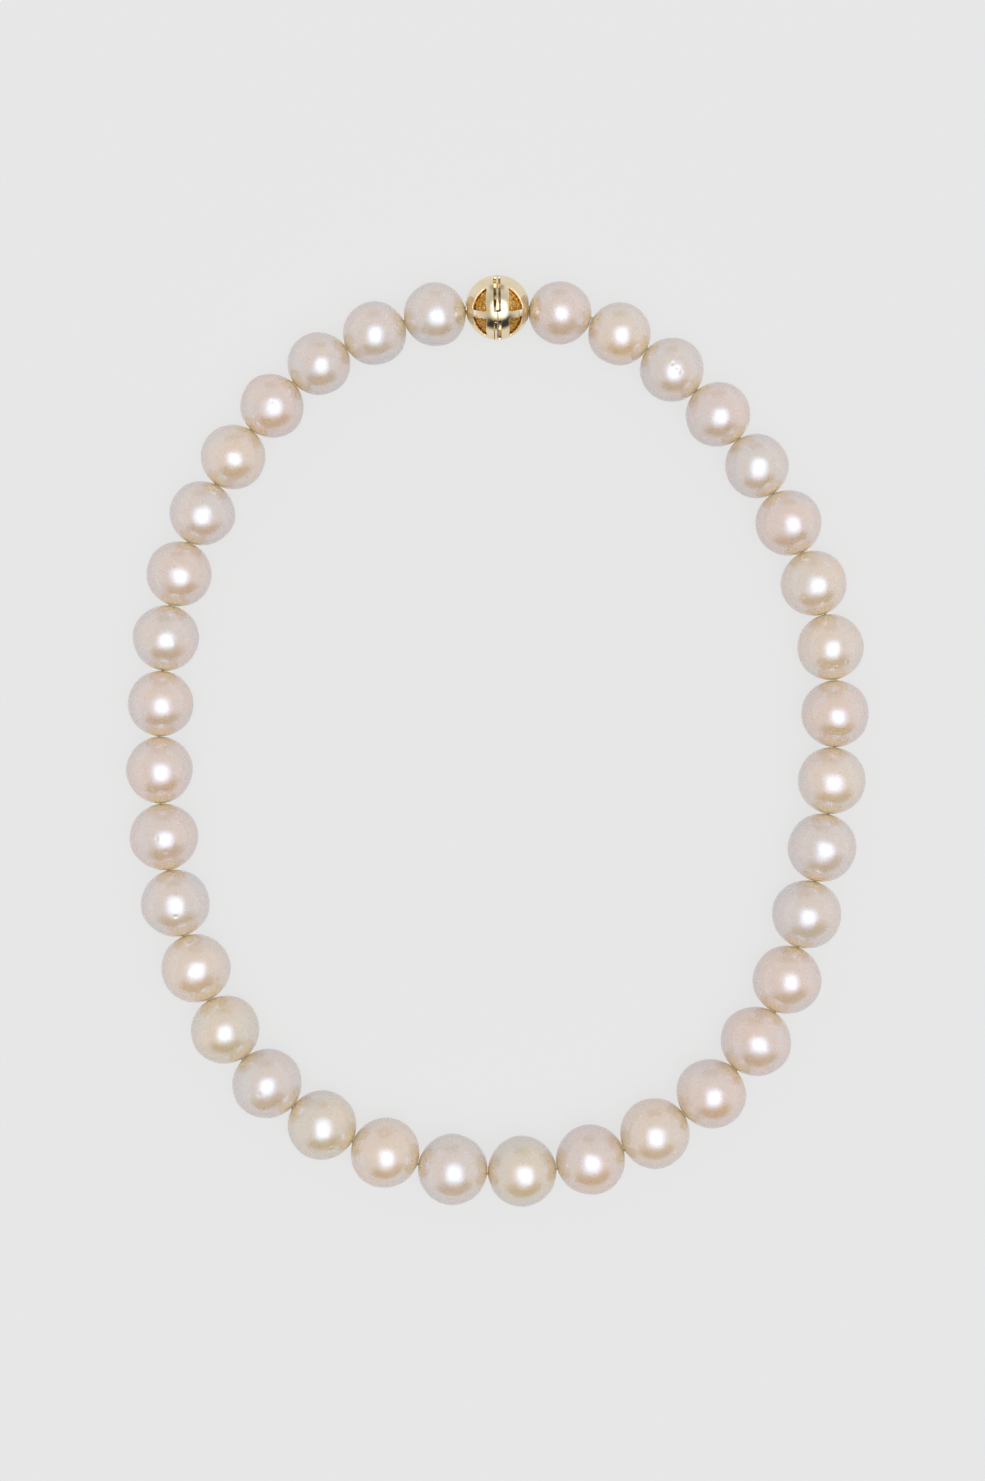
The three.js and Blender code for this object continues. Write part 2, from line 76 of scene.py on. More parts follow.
# ---- the strand ----
PEARLS = 36
DRILL_RADIUS = 0.5
THREAD_RADIUS = 0.25
MOUTH_ROUND = 0.1  # radius of the drill hole's worn edge
SPARE_GAP = 0.02  # left between two pearls at their sharpest bend
PEARL_BANDS = 56
PEARL_SIDES = 80
FINER = 1.8  # a pearl with blemishes has this many times the bands and sides
PEARL_HALF = 6.2  # half the width of a middling pearl
MOUTH_TURNS = (0.5, 1.1, 1.57)  # angles of the points along the worn edge
NEAR_AXIS = 0.9  # points closer to the middle than this share of the radius are the bore's
FLOOR_FADE = 2.5  # how fast the unevenness returns above the point the pearl rests on
LUMPS = ((3.2, 0.008), (5.4, 0.005), (9.2, 0.0015))  # (waves over the ball, height as a share of its radius)
WAVES_EACH = 3
PAINTED_GLOW_REACH = 0.13  # how far the painted glow of light bounced between touching pearls reaches from the drill mouths, as a share of the radius
OVERTONE_DRIFT = np.array([1.2, -0.3, -1.5])  # how a pearl's red, green and blue follow its slow waves
DRIFT_SEED = 100  # added to a pearl's number, so that its colour doesn't follow its shape

# ---- the thread ----
THREAD_SIDES = 18
PLIES = 3
PLY_DEPTH = 0.12
TWIST_PITCH = 1.6
THREAD_STEP = 0.25

# ---- the ball clasp, in its own frame: x along the thread, from the tongue half to the box half, w up and
# v across both. The tilts turn its parts about x, as the thing lies on its side a little. ----
BALL_RADIUS = 5.95
WALL = 0.45
END_FLAT = 5.6
END_INSIDE = 5.2
RING_OUT_TONGUE = 0.32
RING_OUT_BOX = 0.12
SEAM = 0.03
END_HOLE = 0.9
RIM_HALF_WIDTH = 2.07
STRAP_HALF_WIDTH = 0.69
WINDOW_REACH_X = 4.72
WINDOW_REACH_V = 5.1
WINDOW_ROUND = 0.32
WINDOW_TILT = math.radians(19.7)
LINER_OUTER = 5.4
LINER_WALL = 0.4
LINER_HOLE = 2.25
LINER_START = {"tongue": 1.35, "box": 1.15}
LATCH_TILT = math.radians(24.6)
TAB_HALF_ANGLE = math.radians(34)
TAB_SLOT_HALF_ANGLE = math.radians(37)
TAB_TOP = 6.07
TAB_FOOT = 4.2
TAB_FACES = (-0.2, 0.12)
TAB_SLOT = {"tongue": 0.72, "box": 0.52}  # how far each half's slot reaches from the seam
KEY_TILT = math.radians(-62.3)
KEY_HALF_ANGLE = math.radians(30)
KEY_SLOT_HALF_ANGLE = math.radians(32.7)
KEY_RADII = (5.1, 5.92)
KEY_FACES = (-0.6, -0.15)
KEY_SLOT = {"tongue": 0.7, "box": 0.6}
SLOT_FLOOR = 4.6
PLATE_RADIUS = 5.32
BASE_PLATE = (-1.15, -0.8)
MOUTH_PLATE = (0.6, 0.95)
LEAF = 0.35
LEAF_HALF_WIDTH = 1.5
NECK_HALF_WIDTH = 0.6
NECK_END = 1.12
LOWER_LEAF_FLOOR = -1.0
FOLD = {"x": 2.9, "w": -0.4, "inner": 0.25}
SHOULDER_TOP = 0.65
LEAF_GAP = 0.12
MOUTH = {"half_width": 1.7, "floor": -1.25, "lintel": 0.69, "notch_half_width": 0.8, "notch_top": 1.0}
RING_RADIUS = 1.4
TUBE_RADIUS = 0.78
TUBE_END = 4.62
CRIMP_RADIUS = 0.65
RING_CLEARANCE = 0.04  # the end ring stops this far short of the contact
SOLDER_GAP = 0.03
THIN_RING = 0.2  # a ring that stands out less than this is only chamfered
TUBE_EDGE = 0.05
TUBE_SIDES = 64
CRIMP = (3.75, 4.5)
CRIMP_GAP = 0.02
CRIMP_ROUND = 0.16
CRIMP_SIDES = 40
CRUSH = {"beyond": 0.4, "to": 0.92}  # beyond this radius the bead is squeezed to this share of its width
THREAD_TAIL = 0.1  # the thread ends this far inside the crimp bead
WINDOW_CUT = {"inner": 0.75, "outer": 1.35, "apex_in": 0.92, "apex_out": 1.1}
SLOT_CUT = {"past_seam": 0.5, "past_ball": 1.5}
SHELL_SIDES = 128
SHELL_BANDS = {"outside": 40, "inside": 34}
SHELL_VOXEL = 0.077
SHELL_SMOOTHING = 12
# the remeshing grid lies askew to the straps, so that it leaves no steps along their edges
ASKEW = Matrix.Rotation(math.radians(37), 4, Vector((1, 2, 3)))
SNAP = {"to_ball": 0.7, "to_flat": 0.42}  # points this near a true surface go back on it, in voxels
LINER_SIDES = 320
LINER_BANDS = {"grained": 70, "inside": 24}
GRAINS = ((40, 0.008), (60, 0.009), (80, 0.008))  # (waves over the ball, height)
GRAIN_WAVES = 7
GRAIN_SEED = 7
GRAIN_FADE = 0.3  # the grains fade out this near the liner's open edge
DISC_SIDES = 96
PLATE_SOFT = 0.05
MOUTH_SOFT = 0.04
LEAF_SOFT = 0.06
TAB_SOFT = 0.05
KEY_SOFT = 0.06
LEAF_FOOT_GAP = 0.05
NECK_LAP = 0.2
CUT_SPARE = 0.5  # the mouth's cutter stands out this far on both sides of the plate

# ---- the camera, looking straight down as in the photograph ----
CAMERA_LENS = 120
CAMERA_SENSOR = 36
VIEW_HEIGHT = 271.6  # how much of the surface the picture's long side takes in
VIEW_CENTRE = (-0.99, 0.1)
FLOOR_HALF_WIDTH = 3.0  # in metres

# ---- the light: a white tent with one bright patch and two dark gaps ----
# Each is placed by where a mirror ball shows it from above, in ball radii.
TENT_TOP = 0.54
TENT_FOOT = 0.9
BRIGHT_PATCH = {"radiance": 3.1, "centre": (0.05, -0.085), "reach": (0.205, 0.218), "soft": 0.6}
PATCH_POWER = 3.0  # 2 would make the patch an ellipse, and a high power a square
GAPS = (  # the share of light missing, distance from the middle, half width, direction and half angle
    (0.95, 0.57, 0.14, 278, 50),
    (0.5, 0.61, 0.08, 92, 20),
)
GAP_SOFT = {"sides": 0.5, "ends": 0.3}


# ======== the frame's own places ========
STRAND = ["box_half"] + [f"pearl_{n:02d}" for n in range(1, PEARLS + 1)] + ["tongue_half"]


def joint_between(a, b):
    return next(j for j in frame["joints"] if {j["parent"], j["child"]} == {a, b})


CONTACT_JOINTS = [joint_between(a, b) for a, b in zip(STRAND, STRAND[1:])]
CONTACTS = [Vector(j["pos_m"]) for j in CONTACT_JOINTS]


def ends_of(n):
    """Where piece n of STRAND meets its two neighbours, clockwise. The clasp's halves share both ends."""
    return CONTACTS[(n - 1) % len(CONTACTS)], CONTACTS[n % len(CONTACTS)]


def heading_of(n):
    near, far = ends_of(n)
    return math.atan2(far.y - near.y, far.x - near.x)


def sharpest_bend(contact):
    """The largest angle between the two pieces at a contact, over the joint's whole range."""
    turn = heading_of(contact + 1) - heading_of(contact)
    rest = (turn + math.pi) % (2 * math.pi) - math.pi
    joint = CONTACT_JOINTS[contact]
    sign = -1 if joint["child"] == STRAND[contact] else 1
    return max(abs(rest + sign * math.radians(angle)) for angle in joint["range_deg"])


def half_width_of(n):
    low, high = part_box(STRAND[n])
    return (high[2] - low[2]) / 2


def gap_at(contact):
    """The gap that two round pearls need on their thread, so that they just touch at the sharpest bend."""
    lift = 1 / math.cos(sharpest_bend(contact) / 2) - 1
    return (2 * PEARL_HALF * lift + SPARE_GAP) * MM


def clasp_matrix():
    """The clasp's own frame, at the ball's middle."""
    near, far = ends_of(0)
    along = (far - near).normalized()
    along.z = 0
    middle = near + along.normalized() * (END_FLAT + RING_OUT_TONGUE) * MM
    middle.z = BALL_RADIUS * MM
    return Matrix.Translation(middle) @ Matrix.Rotation(heading_of(0), 4, "Z")


# ======== mesh helpers ========
def new_object(name, verts, faces):
    mesh = bpy.data.meshes.new(name)
    mesh.from_pydata([tuple(v) for v in verts], [], [tuple(f) for f in faces])
    mesh.validate()
    mesh.polygons.foreach_set("use_smooth", [True] * len(mesh.polygons))
    obj = bpy.data.objects.new(name, mesh)
    bpy.context.scene.collection.objects.link(obj)
    return obj


def revolve(profile, sides):
    """Vertices and quads of a closed profile of (x, radius) pairs turned about the x axis."""
    count = len(profile)
    angles = np.arange(sides) * 2 * math.pi / sides
    x = np.repeat([p[0] for p in profile], sides)
    radius = np.repeat([p[1] for p in profile], sides)
    turn = np.tile(angles, count)
    verts = np.stack([x, radius * np.sin(turn), radius * np.cos(turn)], axis=1)
    ring = np.arange(count)[:, None] * sides
    after = ((np.arange(count) + 1) % count)[:, None] * sides
    here = np.arange(sides)[None, :]
    there = (here + 1) % sides
    faces = np.stack([ring + here, ring + there, after + there, after + here], axis=2)
    return verts, faces.reshape(-1, 4)


def outward(obj):
    """Turns all the faces of a closed mesh outward."""
    bm = bmesh.new()
    bm.from_mesh(obj.data)
    bmesh.ops.recalc_face_normals(bm, faces=bm.faces)
    bm.to_mesh(obj.data)
    bm.free()
    return obj


def place(obj, matrix):
    """Moves a mesh made in millimetres in a frame of its own to its place in the model's frame."""
    obj.data.transform(matrix @ Matrix.Scale(MM, 4))
    return obj


def arc(cx, cy, radius, start, end, steps):
    return [
        (cx + radius * math.cos(a), cy + radius * math.sin(a))
        for a in np.linspace(start, end, steps + 1)
    ]


def prism(name, outline, low, high, axes):
    """A flat outline of (p, q) pairs given thickness. axes maps (p, q, depth) to x, y, z."""
    count = len(outline)
    verts = [axes(p, q, low) for p, q in outline] + [axes(p, q, high) for p, q in outline]
    faces = [tuple(range(count)), tuple(range(2 * count - 1, count - 1, -1))]
    for n in range(count):
        after = (n + 1) % count
        faces.append((n, n + count, after + count, after))
    return outward(new_object(name, verts, faces))


def across_thread(v, w, depth):
    return (depth, v, w)


def along_thread(x, w, depth):
    return (x, depth, w)


def applied(obj, *settings):
    """Applies modifiers, each given as (type, {property: value}), and keeps the result as obj's own mesh."""
    for kind, values in settings:
        modifier = obj.modifiers.new(kind, kind)
        for key, value in values.items():
            setattr(modifier, key, value)
    bpy.context.view_layer.update()
    mesh = bpy.data.meshes.new_from_object(obj.evaluated_get(bpy.context.evaluated_depsgraph_get()))
    obj.modifiers.clear()
    old = obj.data
    obj.data = mesh
    bpy.data.meshes.remove(old)
    return obj


def combined(obj, operation, others):
    """Joins the other solids to obj or cuts them from it, and removes them."""
    applied(obj, *[("BOOLEAN", {"operation": operation, "object": o, "solver": "EXACT"}) for o in others])
    for other in others:
        bpy.data.objects.remove(other)
    return obj


def cut(obj, cutters):
    return combined(obj, "DIFFERENCE", cutters)


def softened(obj, width):
    """Rounds the sharp edges of a mesh in millimetres, as polishing does."""
    bevel = {"width": width, "segments": 2, "limit_method": "ANGLE", "angle_limit": math.radians(35)}
    return applied(obj, ("BEVEL", bevel), ("WEIGHTED_NORMAL", {"keep_sharp": True}))


def coordinates(obj):
    co = np.empty(len(obj.data.vertices) * 3)
    obj.data.vertices.foreach_get("co", co)
    return co.reshape(-1, 3)


def set_coordinates(obj, co):
    obj.data.vertices.foreach_set("co", co.ravel())
    obj.data.update()


def add_attribute(obj, name, kind, values):
    attribute = obj.data.attributes.new(name, kind, "POINT")
    field = "color" if kind == "FLOAT_COLOR" else "value"
    attribute.data.foreach_set(field, np.ravel(values).astype(np.float32))


# ======== materials ========
class Nodes:
    """A short way to write a material's node tree."""

    def __init__(self, name):
        self.material = bpy.data.materials.new(name)
        self.material.use_nodes = True
        self.tree = self.material.node_tree
        self.shader = self.tree.nodes["Principled BSDF"]

    def add(self, kind, inputs=None, **settings):
        node = self.tree.nodes.new(kind)
        for key, value in settings.items():
            setattr(node, key, value)
        for key, value in (inputs or {}).items():
            self.plug(value, node.inputs[key])
        return node

    def plug(self, value, socket):
        if isinstance(value, bpy.types.NodeSocket):
            self.tree.links.new(value, socket)
        else:
            socket.default_value = value

    def set(self, **values):
        for key, value in values.items():
            self.plug(value, self.shader.inputs[key.replace("_", " ")])

    def noise(self, scale, detail=2.0, roughness=0.5, vector=None):
        inputs = {"Scale": scale, "Detail": detail, "Roughness": roughness, "Vector": vector or self.place()}
        return self.add("ShaderNodeTexNoise", inputs).outputs["Fac"]

    def place(self):
        return self.add("ShaderNodeTexCoord").outputs["Object"]

    def ramp(self, value, low, high, out_low, out_high):
        inputs = {"Value": value, "From Min": low, "From Max": high, "To Min": out_low, "To Max": out_high}
        return self.add("ShaderNodeMapRange", inputs, interpolation_type="SMOOTHSTEP").outputs["Result"]

    def mix(self, factor, a, b):
        node = self.add("ShaderNodeMix", data_type="RGBA")
        self.plug(factor, node.inputs[0])
        self.plug(a, node.inputs[6])
        self.plug(b, node.inputs[7])
        return node.outputs[2]

    def bump(self, height, strength, distance, normal=None):
        inputs = {"Height": height, "Strength": strength, "Distance": distance}
        if normal is not None:
            inputs["Normal"] = normal
        return self.add("ShaderNodeBump", inputs).outputs["Normal"]


def nacre():
    """A golden cream body seen through a cool, strongly reflecting skin, with a painted warm glow by the
    drill holes for light bounced between touching pearls.
    """
    n = Nodes("nacre")
    tint = n.add("ShaderNodeAttribute", attribute_name="tint").outputs["Color"]
    mouth = n.add("ShaderNodeAttribute", attribute_name="mouth").outputs["Fac"]
    growth = n.noise(300, 3)
    body = n.mix(n.ramp(growth, 0.3, 0.7, 0.0, 0.25), tint, (0.79, 0.6, 0.38, 1))
    # painted glow: the base colour turns warm and light by the drill holes, for light bounced between
    # touching pearls
    body_with_painted_glow = n.mix(n.ramp(mouth, 0.0, 0.7, 0.0, 1.0), body, (1.0, 0.74, 0.42, 1))
    n.set(
        Base_Color=body_with_painted_glow,
        Roughness=n.ramp(n.noise(700, 2), 0.3, 0.7, 0.26, 0.32),
        IOR=4.0,
        Specular_Tint=(0.5, 0.69, 1.0, 1),
        Subsurface_Weight=0.5,
        Subsurface_Radius=(1.0, 0.75, 0.5),
        Subsurface_Scale=0.003,
        Coat_Weight=0.6,
        Coat_Roughness=0.12,
        Coat_IOR=1.5,
        Normal=n.bump(n.noise(2600, 3), 0.03, 0.00003),
    )
    return n.material


def silk():
    """Three plies of undyed silk, with the plies' own sheen."""
    n = Nodes("silk")
    fibres = {"Scale": 900.0, "Distortion": 2.0, "Vector": n.place()}
    wave = n.add("ShaderNodeTexWave", fibres, bands_direction="DIAGONAL").outputs["Fac"]
    n.set(
        Base_Color=n.mix(wave, (0.92, 0.76, 0.5, 1), (1.0, 0.92, 0.74, 1)),
        Roughness=0.75,
        Sheen_Weight=0.3,
        Normal=n.bump(wave, 0.4, 0.00005),
    )
    return n.material


def polished_gold():
    """Pale yellow gold with hairline polishing marks and a slight unevenness from wear."""
    n = Nodes("polished_gold")
    along = {"Vector": n.place(), "Scale": (1.0, 9.0, 9.0)}
    stretch = n.add("ShaderNodeMapping", along).outputs["Vector"]
    hairlines = n.noise(900, 4, 0.6, stretch)
    cloud = n.noise(420, 2)
    n.set(
        Base_Color=n.mix(n.ramp(cloud, 0.35, 0.65, 0, 1), (0.86, 0.71, 0.46, 1), (0.91, 0.78, 0.56, 1)),
        Metallic=1.0,
        Roughness=n.ramp(hairlines, 0.3, 0.75, 0.1, 0.2),
        Normal=n.bump(hairlines, 0.08, 0.00002, n.bump(cloud, 0.1, 0.00008)),
    )
    return n.material


def grained_gold():
    """The liner's stippled floor: deeper orange gold, with painted highlights on the grains' tops and
    painted brown shade between them.
    """
    n = Nodes("grained_gold")
    grain = n.noise(2300, 3, 0.6)
    # painted light and shade: the grains' tops are painted bright and the hollows between them painted dark
    # brown
    painted_grain_light = n.ramp(grain, 0.35, 0.65, 0.0, 1.0)
    n.set(
        Base_Color=n.mix(painted_grain_light, (0.36, 0.16, 0.02, 1), (0.76, 0.44, 0.12, 1)),
        Metallic=1.0,
        Roughness=n.ramp(grain, 0.3, 0.7, 0.5, 0.3),
        Normal=n.bump(grain, 0.7, 0.0001),
    )
    return n.material


def pale_floor():
    """A pale sweep that is almost evenly bright, as a lit backdrop is."""
    n = Nodes("pale_floor")
    n.set(
        Base_Color=(0.1, 0.1, 0.1, 1),
        Roughness=1.0,
        Specular_IOR_Level=0.0,
        Emission_Color=(1, 1, 1, 1),
        Emission_Strength=0.695,
    )
    return n.material


MATERIALS = {
    "nacre": nacre(),
    "silk": silk(),
    "polished_gold": polished_gold(),
    "grained_gold": grained_gold(),
}


def finish_piece(obj, slot, body, *nodes):
    """Gives a piece its material, the body it rides on and the CAD nodes it stands for."""
    obj.data.materials.clear()
    obj.data.materials.append(MATERIALS[slot])
    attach(obj, body)
    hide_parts(*nodes)
    return obj


# ======== the pearls ========
# The pearls' overtones, clockwise from the clasp: rosy, cream, green-gold, silver.
TINTS = {
    "r": (0.83, 0.61, 0.41),
    "c": (0.85, 0.64, 0.4),
    "g": (0.81, 0.64, 0.38),
    "s": (0.8, 0.63, 0.45),
}
OVERTONES = "rcsrsrccrcssrrrcrgscgsgcsrrrsrscrsss"

# Pits, wrinkles and dimples: the pearl, then (right, up, radius, depth) of each hollow, as shares of the
# pearl's radius and as seen from above with the clasp at the top.
BLEMISHES = {
    3: [
        (-0.12, 0.24, 0.07, 0.012),
        (0.0, 0.13, 0.07, 0.015),
        (0.14, -0.02, 0.07, 0.015),
        (0.27, -0.15, 0.07, 0.012),
    ],
    7: [(-0.37, -0.43, 0.07, 0.015), (0.33, -0.52, 0.07, 0.015)],
    8: [
        (-0.36, -0.46, 0.07, 0.015),
        (-0.1, -0.58, 0.08, 0.02),
        (0.12, -0.62, 0.07, 0.018),
        (0.45, -0.47, 0.07, 0.02),
    ],
    9: [(-0.16, -0.5, 0.09, 0.018), (0.06, -0.54, 0.1, 0.02), (0.26, -0.5, 0.08, 0.018)],
    13: [(0.3, 0.6, 0.07, 0.018)],
    20: [(0.0, 0.6, 0.07, 0.015)],
    21: [(0.3, -0.6, 0.07, 0.018)],
    22: [(-0.18, -0.24, 0.07, 0.012), (-0.06, -0.6, 0.07, 0.015)],
    23: [(0.0, -0.8, 0.09, 0.02)],
    24: [(-0.04, -0.09, 0.07, 0.012), (-0.04, -0.73, 0.07, 0.018), (0.65, -0.3, 0.07, 0.015)],
    25: [(0.06, -0.37, 0.07, 0.018), (-0.85, 0.43, 0.09, 0.018)],
    26: [(-0.15, -0.04, 0.07, 0.012), (0.12, -0.43, 0.07, 0.015)],
    27: [(0.12, 0.64, 0.07, 0.02), (0.22, 0.73, 0.07, 0.02), (-0.2, -0.6, 0.07, 0.02)],
    28: [(0.24, 0.8, 0.1, 0.02)],
    29: [(0.06, -0.02, 0.07, 0.011), (0.13, -0.12, 0.07, 0.011), (0.2, -0.2, 0.07, 0.011)],
    30: [(-0.09, 0.24, 0.07, 0.013)],
    31: [(0.39, 0.73, 0.09, 0.02)],
    32: [(-0.06, 0.76, 0.09, 0.02)],
    33: [(0.04, 0.06, 0.07, 0.012), (-0.06, -0.55, 0.07, 0.015)],
    34: [(0.18, 0.37, 0.07, 0.015), (0.06, -0.57, 0.07, 0.015)],
    36: [(-0.3, -0.57, 0.07, 0.018), (0.06, 0.73, 0.07, 0.018)],
}
STAINED_DEPTH = 0.014  # a hollow this deep has its full yellow tone
STAIN = np.array([0.86, 0.66, 0.32])


def pearl_profile(near_length, far_length, radius, bands):
    """The closed outline of a drilled pearl, from the near mouth over the outside and back down the bore."""
    mouth = math.asin((DRILL_RADIUS + MOUTH_ROUND) * MM / radius)
    outside = []
    for angle in np.linspace(mouth, math.pi - mouth, bands + 1):
        reach = near_length if angle < math.pi / 2 else far_length
        outside.append((-reach * math.cos(angle), radius * math.sin(angle)))
    edge = MOUTH_ROUND * MM
    bore = DRILL_RADIUS * MM
    near_x = outside[0][0]
    far_x = outside[-1][0]
    corner = [(edge - edge * math.cos(a), bore + edge - edge * math.sin(a)) for a in MOUTH_TURNS]
    far_edge = [(far_x - inward, height) for inward, height in corner]
    near_edge = [(near_x + inward, height) for inward, height in reversed(corner)]
    walls = [(far_x * share + near_x * (1 - share), bore) for share in (0.8, 0.6, 0.4, 0.2)]
    return outside + far_edge + walls + near_edge


def lumps(direction, seed):
    """A smooth unevenness of a natural pearl, from a few gentle waves over the ball of directions."""
    draw = np.random.default_rng(seed)
    total = np.zeros(len(direction))
    for frequency, height in LUMPS:
        for _ in range(WAVES_EACH):
            wave = draw.normal(size=3)
            wave /= np.linalg.norm(wave)
            total += height * np.sin(frequency * direction @ wave + draw.uniform(0, 2 * math.pi))
    return total


def dents(direction, marks, heading):
    """Small hollows at places given as seen from above, on a pearl whose bore points along heading."""
    total = np.zeros(len(direction))
    for right, up, radius, depth in marks:
        along = right * math.cos(heading) + up * math.sin(heading)
        across = up * math.cos(heading) - right * math.sin(heading)
        spot = np.array([along, across, math.sqrt(max(0.0, 1 - right**2 - up**2))])
        away = np.linalg.norm(direction - spot, axis=1) / radius
        total += depth * np.exp(-2 * away**2)
    return total


def make_pearl(n):
    near, far = ends_of(n)
    radius = half_width_of(n)
    length = (far - near).to_2d().length
    near_length = length / 2 - gap_at(n - 1) / 2
    far_length = length / 2 - gap_at(n) / 2
    marks = BLEMISHES.get(n, [])
    finer = FINER if marks else 1
    profile = pearl_profile(near_length, far_length, radius, round(PEARL_BANDS * finer))
    verts, faces = revolve(profile, round(PEARL_SIDES * finer))
    direction = verts / np.array([length / 2, radius, radius])
    size = np.linalg.norm(direction, axis=1)
    outside = size > NEAR_AXIS
    direction /= size[:, None]
    off_axis = np.clip(1 - direction[:, 0] ** 2, 0, 1)
    # the waves fade out at the drill mouths, and under the pearl where it rests
    off_floor = np.clip((1 + direction[:, 2]) * FLOOR_FADE, 0, 1)
    hollows = dents(direction, marks, heading_of(n))
    swell = lumps(direction, n) * off_axis * off_floor - hollows
    verts[outside] *= (1 + swell[outside])[:, None]
    verts[:, 2] = np.maximum(verts[:, 2], -radius)
    obj = outward(new_object(f"nacre_{STRAND[n]}", verts, faces))
    # the mouth weight paints a warm glow near the drill mouths, where pearls touch, for light bounced
    # between them; the bore gets all of it
    mouth = np.exp((np.abs(direction[:, 0]) - 1) / PAINTED_GLOW_REACH)
    mouth[~outside] = 1
    add_attribute(obj, "mouth", "FLOAT", mouth)
    base = np.array(TINTS[OVERTONES[n - 1]])
    drift = lumps(direction, n + DRIFT_SEED)[:, None] * OVERTONE_DRIFT
    stain = np.clip(hollows / STAINED_DEPTH, 0, 1)[:, None]
    tint = (base + drift) * (1 - stain) + STAIN * stain
    colour = np.concatenate([np.clip(tint, 0, 1), np.ones((len(verts), 1))], axis=1)
    add_attribute(obj, "tint", "FLOAT_COLOR", colour)
    middle = (near + far) / 2
    middle.z = radius
    obj.data.transform(Matrix.Translation(middle) @ Matrix.Rotation(heading_of(n), 4, "Z"))
    return finish_piece(obj, "nacre", STRAND[n], STRAND[n])


# ======== the thread ========
def twisted_cord(name, points, radius):
    """A tube of three twisted plies through closely spaced points, closed at both ends."""
    points = [Vector(p) for p in points]
    rings = []
    travelled = 0.0
    for k, point in enumerate(points):
        before = points[max(k - 1, 0)]
        after = points[min(k + 1, len(points) - 1)]
        if k:
            travelled += (point - before).length
        along = (after - before).normalized()
        side = along.cross(Vector((0, 0, 1))).normalized()
        up = side.cross(along)
        ring = []
        for s in range(THREAD_SIDES):
            angle = 2 * math.pi * s / THREAD_SIDES
            lobe = 1 - PLY_DEPTH + PLY_DEPTH * abs(math.cos(PLIES * angle / 2))
            turned = angle + 2 * math.pi * travelled / (TWIST_PITCH * MM)
            ring.append(point + (side * math.cos(turned) + up * math.sin(turned)) * radius * lobe)
        rings.append(ring)
    verts = [v for ring in rings for v in ring]
    faces = []
    for k in range(len(rings) - 1):
        for s in range(THREAD_SIDES):
            t = (s + 1) % THREAD_SIDES
            base = k * THREAD_SIDES
            faces.append((base + s, base + t, base + THREAD_SIDES + t, base + THREAD_SIDES + s))
    faces.append(tuple(range(THREAD_SIDES)))
    faces.append(tuple(range(len(verts) - 1, len(verts) - THREAD_SIDES - 1, -1)))
    return outward(new_object(name, verts, faces))


def thread_middle(n):
    """The thread's point inside piece n of STRAND: a pearl's middle, or the thread's end in the clasp."""
    if 1 <= n <= PEARLS:
        near, far = ends_of(n)
        point = (near + far) / 2
        point.z = half_width_of(n)
        return point
    end = CRIMP[0] + THREAD_TAIL
    return clasp_matrix() @ (Vector((end if n == 0 else -end, 0, 0)) * MM)


def make_thread(contact):
    """The stretch of thread from the middle of one piece to the middle of the next, across one contact."""
    start, knee, end = thread_middle(contact), CONTACTS[contact], thread_middle(contact + 1)
    points = []
    for a, b in ((start, knee), (knee, end)):
        count = max(2, round((b - a).length / (THREAD_STEP * MM)))
        points += [a.lerp(b, k / count) for k in range(count)]
    points.append(end)
    obj = twisted_cord(f"thread_{contact:02d}", points, THREAD_RADIUS * MM)
    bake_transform(obj)
    obj.data.materials.append(MATERIALS["silk"])
    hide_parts("thread")
    return obj


# ======== the clasp ========
def window_outline(side, fold):
    """One window seen square on, as (x, v) pairs: two straight sides by the cross and a curved one."""
    edge_x = WINDOW_REACH_X * math.sqrt(1 - (STRAP_HALF_WIDTH / WINDOW_REACH_V) ** 2)
    edge_v = WINDOW_REACH_V * math.sqrt(1 - (RIM_HALF_WIDTH / WINDOW_REACH_X) ** 2)
    first = math.asin((STRAP_HALF_WIDTH + WINDOW_ROUND) / WINDOW_REACH_V)
    last = math.acos((RIM_HALF_WIDTH + WINDOW_ROUND) / WINDOW_REACH_X)
    sweep = np.linspace(first, last, 25)
    outer = [(WINDOW_REACH_X * math.cos(a), WINDOW_REACH_V * math.sin(a)) for a in sweep]

    def corner(a, tip, b):
        return [
            tuple((1 - t) ** 2 * p + 2 * t * (1 - t) * q + t * t * r for p, q, r in zip(a, tip, b))
            for t in np.linspace(0, 1, 7)[1:-1]
        ]

    rim, strap, cut_off = RIM_HALF_WIDTH, STRAP_HALF_WIDTH, WINDOW_ROUND
    along_strap = [(rim + cut_off, strap), (edge_x - cut_off, strap)]
    up_rim = [(rim, edge_v - cut_off), (rim, strap + cut_off)]
    outline = along_strap + corner(along_strap[1], (edge_x, strap), outer[0]) + outer
    outline += corner(outer[-1], (rim, edge_v), up_rim[0]) + up_rim
    outline += corner(up_rim[1], (rim, strap), along_strap[0])
    return [(side * x, fold * v) for x, v in outline]


